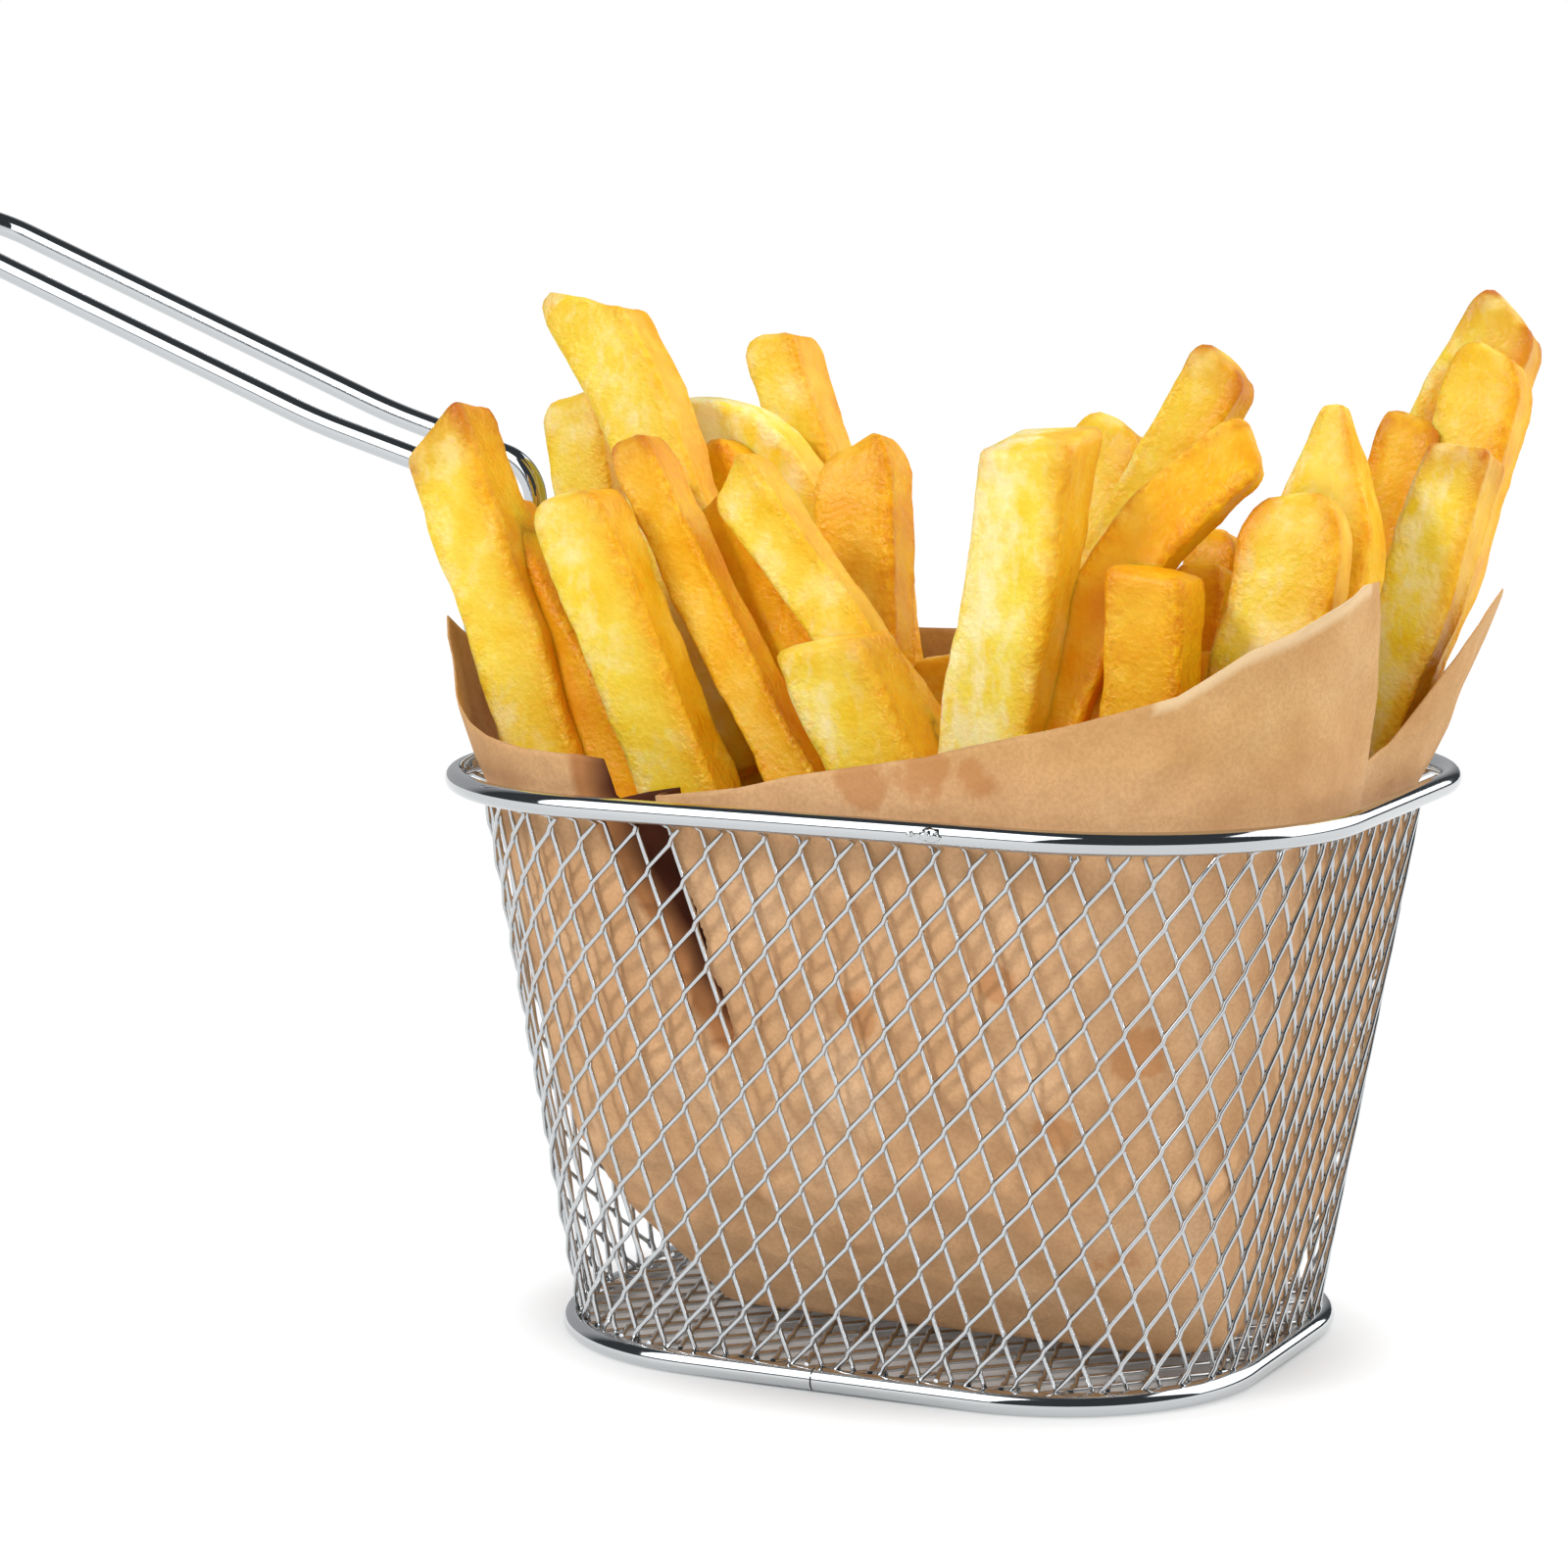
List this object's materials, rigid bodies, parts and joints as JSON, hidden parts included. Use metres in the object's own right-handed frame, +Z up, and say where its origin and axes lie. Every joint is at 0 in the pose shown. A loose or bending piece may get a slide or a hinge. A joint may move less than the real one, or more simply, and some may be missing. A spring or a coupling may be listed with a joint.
{
  "type": "french fries portion in a wire basket",
  "caption": "Thick-cut fries standing in a brown paper wrap inside a small tapered wire serving basket with a loop handle.",
  "frame": {"origin": "middle of the whole's box, handle included, on the surface that the basket stands on", "axes": "+X along the basket's long side, away from the handle; +Y to the back; +Z up"},
  "size_m": [0.2574, 0.1148, 0.1654],
  "materials": {
    "chrome": "bright plated steel rod and wire",
    "kraft_paper": "thin matt brown paper with a few grease spots",
    "fried_potato": "golden, slightly oily fried potato with browned edges"
  },
  "bodies": {
    "root": {"rim": "chrome", "base_ring": "chrome", "wire_mesh": "chrome", "handle": "chrome", "paper": "kraft_paper", "fries": "fried_potato"}
  },
  "joints": []
}
